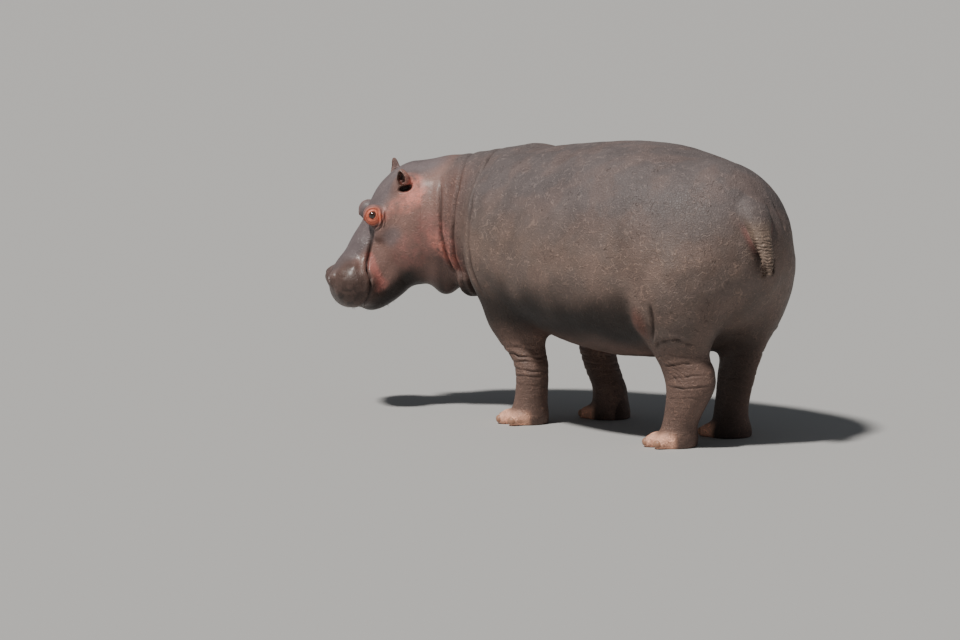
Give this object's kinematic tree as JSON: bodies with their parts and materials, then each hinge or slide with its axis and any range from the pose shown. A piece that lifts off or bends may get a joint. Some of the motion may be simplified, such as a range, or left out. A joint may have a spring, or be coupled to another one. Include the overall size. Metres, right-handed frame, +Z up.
{
  "type": "hippopotamus",
  "caption": "Life-size standing hippopotamus with a barrel body, short legs, small tail, and its broad head turned aside and lowered.",
  "frame": {"origin": "bottom centre of the bounding box, on the floor under the body", "axes": "+X towards the rump, so it faces -X; its left side is towards -Y; +Z up"},
  "size_m": [2.7372, 1.2758, 1.4463],
  "materials": {
    "hide": "thick bare skin, mottled grey brown, dry on the back and damp on the face",
    "nail": "worn pale horn",
    "eye": "wet, dark brown"
  },
  "bodies": {
    "root": {"trunk": "hide", "neck": "hide", "head": "hide", "jaw": "hide", "ear_left": "hide", "ear_right": "hide", "tail": "hide", "leg_front_left": "hide", "leg_front_right": "hide", "leg_hind_left": "hide", "leg_hind_right": "hide", "foot_front_left": "hide", "foot_front_right": "hide", "foot_hind_left": "hide", "foot_hind_right": "hide", "eye_left": "eye", "eye_right": "eye", "nail_front_left_1": "nail", "nail_front_left_2": "nail", "nail_front_left_3": "nail", "nail_front_left_4": "nail", "nail_front_right_1": "nail", "nail_front_right_2": "nail", "nail_front_right_3": "nail", "nail_front_right_4": "nail", "nail_hind_left_1": "nail", "nail_hind_left_2": "nail", "nail_hind_left_3": "nail", "nail_hind_left_4": "nail", "nail_hind_right_1": "nail", "nail_hind_right_2": "nail", "nail_hind_right_3": "nail", "nail_hind_right_4": "nail"}
  },
  "joints": []
}
